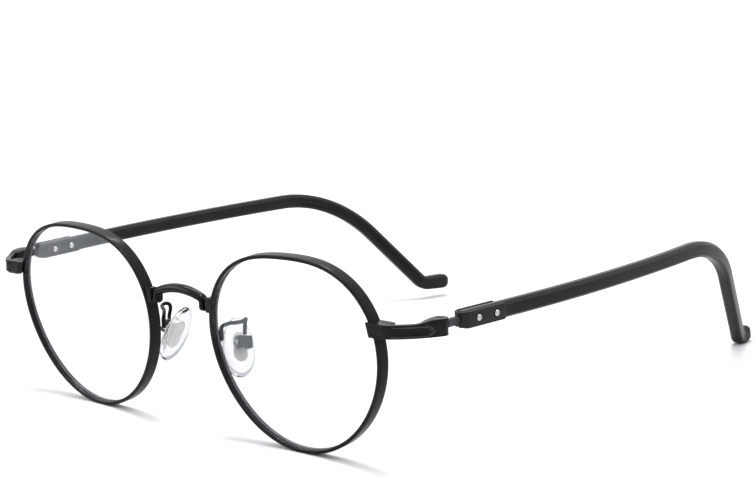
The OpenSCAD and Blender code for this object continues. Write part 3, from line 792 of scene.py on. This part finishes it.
for side, tag in ((1, "left"), (-1, "right")):
    def put(label, shape, material, **more):
        return piece(f"{tag}_{label}_look", shape, f"{tag}_{label}", material, side, **more)

    put("rim", rim_shape(), BLACK_WIRE)
    shape, slots = lens_shape()
    put("lens", shape, [LENS, LENS_EDGE], slots=slots)
    put("temple", temple_shape(BENDS[side], side > 0), ACETATE)
    put("temple_cap", cap_shape(), CAP_METAL)
    shape, slots = rivets_shape()
    # The rivet rings take the near-black painted shadow
    put("temple_rivets", shape, [SILVER, RIVET_RING_SHADE], slots=slots)
    put("pad_arm", pad_arm_shape(), BLACK_WIRE)
    put("nose_pad", nose_pad_shape(), SILICONE)
    keep(f"{tag}_bridge_block", BLACK_METAL, 0.25)
    keep(f"{tag}_endpiece", BLACK_METAL, 0.09)
    keep(f"{tag}_lock_upper", BLACK_METAL, 0.12)
    keep(f"{tag}_lock_lower", BLACK_METAL, 0.12)
    keep(f"{tag}_rim_screw", SCREW, 0.06)
    keep(f"{tag}_hinge_screw", SCREW, 0.06)
    keep(f"{tag}_temple_core", GUNMETAL, 0.12)
    keep(f"{tag}_pad_box", BOX_METAL, 0.7, 4)
    keep(f"{tag}_pad_screw", SILVER, 0.08)
    keep(f"{tag}_pad_insert", NICKEL, 0.1)
    piece(f"{tag}_endpiece_trim", endpiece_trim(), f"{tag}_endpiece", TRIM, side, replaces=False)
piece("bridge_look", bridge_shape(), "bridge", BLACK_GLOSS)


# ---------------------------------------------------------------- floor, light and camera
# Towards the camera, where the room is dimmer; and how much of the floor reflections lose
DIM_SIDE, FLAGGED = (0.70, -0.70, 0.14), 0.42


def floor():
    n = Nodes("floor_paper")
    speck = n.noise(30, 4)
    base = n.ramp(speck, (0.86, 0.86, 0.87), (0.88, 0.88, 0.885))
    shader = n.add("ShaderNodeBsdfPrincipled", Base__Color=base, Roughness=0.9,
                   Normal=n.bump(n.noise(900, 2), 0.02 * MM, 0.2))
    shader.inputs["Specular IOR Level"].default_value = 0.1
    # The sheet runs into an evenly lit white sweep away from the object
    away = n.add("ShaderNodeVectorMath", Vector=n.coords)
    away.operation = "LENGTH"
    glow = n.add("ShaderNodeEmission", Color=(1, 1, 1, 1), Strength=1.1)
    mix = n.add("ShaderNodeMixShader", Fac=n.span(away.outputs["Value"], 0.0, 1.0, 0.22, 0.5))
    n.tree.links.new(shader.outputs["BSDF"], mix.inputs[1])
    n.tree.links.new(glow.outputs["Emission"], mix.inputs[2])
    # Reflections see it dimmer, as if flags stood beside the set
    path = n.tree.nodes.new("ShaderNodeLightPath")
    mirrored = n.tree.nodes.new("ShaderNodeMath")
    mirrored.operation = "SUBTRACT"
    n.tree.links.new(path.outputs["Is Glossy Ray"], mirrored.inputs[0])
    n.tree.links.new(path.outputs["Is Transmission Ray"], mirrored.inputs[1])
    flagged = n.add("ShaderNodeMixShader", Fac=n.span(mirrored.outputs["Value"], 0.0, FLAGGED, 0.0, 1.0))
    n.tree.links.new(mix.outputs["Shader"], flagged.inputs[1])
    material = n.finish(flagged.outputs["Shader"])
    mesh = bpy.data.meshes.new("floor")
    size = 6.0
    corners = [(-size, -size, 0), (size, -size, 0), (size, size, 0), (-size, size, 0)]
    mesh.from_pydata(corners, [], [(0, 1, 2, 3)])
    mesh.materials.append(material)
    ob = bpy.data.objects.new("floor", mesh)
    bpy.context.scene.collection.objects.link(ob)
    ob.location = (0, 0, min(cad_box[0][2], 0.0) - 0.00002)


def world():
    w = bpy.data.worlds.new("studio")
    bpy.context.scene.world = w
    w.use_nodes = True
    tree = w.node_tree
    tree.nodes.clear()
    out = tree.nodes.new("ShaderNodeOutputWorld")
    coords = tree.nodes.new("ShaderNodeTexCoord")
    split = tree.nodes.new("ShaderNodeSeparateXYZ")
    tree.links.new(coords.outputs["Generated"], split.inputs[0])
    ramp = tree.nodes.new("ShaderNodeValToRGB")
    ramp.color_ramp.elements[0].position, ramp.color_ramp.elements[0].color = 0.0, (0.62, 0.64, 0.67, 1)
    ramp.color_ramp.elements[1].position, ramp.color_ramp.elements[1].color = 0.8, (1.15, 1.15, 1.17, 1)
    tree.links.new(split.outputs["Z"], ramp.inputs[0])
    # A dimmer room behind the camera gives polished black parts their contrast
    toward = tree.nodes.new("ShaderNodeVectorMath")
    toward.operation = "DOT_PRODUCT"
    toward.inputs[1].default_value = DIM_SIDE
    tree.links.new(coords.outputs["Generated"], toward.inputs[0])
    dim = tree.nodes.new("ShaderNodeMapRange")
    dim.interpolation_type = "SMOOTHSTEP"
    for key, value in (("From Min", 0.30), ("From Max", 0.92), ("To Min", 1.0), ("To Max", 0.5)):
        dim.inputs[key].default_value = value
    tree.links.new(toward.outputs["Value"], dim.inputs["Value"])
    shaded = tree.nodes.new("ShaderNodeVectorMath")
    shaded.operation = "SCALE"
    tree.links.new(ramp.outputs["Color"], shaded.inputs[0])
    tree.links.new(dim.outputs["Result"], shaded.inputs["Scale"])
    soft = tree.nodes.new("ShaderNodeBackground")
    tree.links.new(shaded.outputs["Vector"], soft.inputs["Color"])
    soft.inputs["Strength"].default_value = 1.02
    white = tree.nodes.new("ShaderNodeBackground")
    white.inputs["Color"].default_value = (1, 1, 1, 1)
    white.inputs["Strength"].default_value = 1.05
    path = tree.nodes.new("ShaderNodeLightPath")
    mix = tree.nodes.new("ShaderNodeMixShader")
    tree.links.new(path.outputs["Is Camera Ray"], mix.inputs[0])
    tree.links.new(soft.outputs[0], mix.inputs[1])
    tree.links.new(white.outputs[0], mix.inputs[2])
    tree.links.new(mix.outputs[0], out.inputs["Surface"])


def softbox(name, location, target, size, watts, colour=(1, 1, 1)):
    data = bpy.data.lights.new(name, "AREA")
    data.shape, data.size, data.size_y = "RECTANGLE", size[0], size[1]
    data.energy, data.color = watts, colour
    ob = bpy.data.objects.new(name, data)
    bpy.context.scene.collection.objects.link(ob)
    ob.location = location
    ob.rotation_mode = "QUATERNION"
    ob.rotation_quaternion = (Vector(target) - Vector(location)).to_track_quat("-Z", "Y")


def camera():
    """The photograph's own view: azimuth from straight ahead, height above the table, slight roll."""
    azimuth, elevation, roll = math.radians(44.467), math.radians(10.400), math.radians(-2.079)
    back = Vector((math.sin(azimuth) * math.cos(elevation), -math.cos(azimuth) * math.cos(elevation),
                   math.sin(elevation)))
    right = (-back).cross(Vector((0, 0, 1))).normalized()
    up = right.cross(-back)
    x = right * math.cos(roll) + up * math.sin(roll)
    y = up * math.cos(roll) - right * math.sin(roll)
    data = bpy.data.cameras.new("camera")
    data.sensor_width, data.lens = 36.0, 96.347
    data.clip_start, data.clip_end = 0.01, 20.0
    ob = bpy.data.objects.new("camera", data)
    bpy.context.scene.collection.objects.link(ob)
    ob.matrix_world = Matrix.Translation((0.325057, -0.271149, 0.114461)) @ Matrix(
        (x, y, back)).transposed().to_4x4()
    bpy.context.scene.camera = ob


floor()
world()
softbox("top_softbox", (0.0, 0.04, 0.9), (0.0, 0.05, 0.0), (0.26, 0.22), 3.5)
softbox("left_softbox", (-0.9, -0.6, 0.45), (0.0, 0.03, 0.02), (0.6, 0.6), 2.5)
softbox("strip_light", (-0.45, 0.33, 0.78), (0.0, 0.0, 0.03), (0.5, 0.05), 1.1)
camera()
bpy.context.scene.view_settings.view_transform = "Standard"
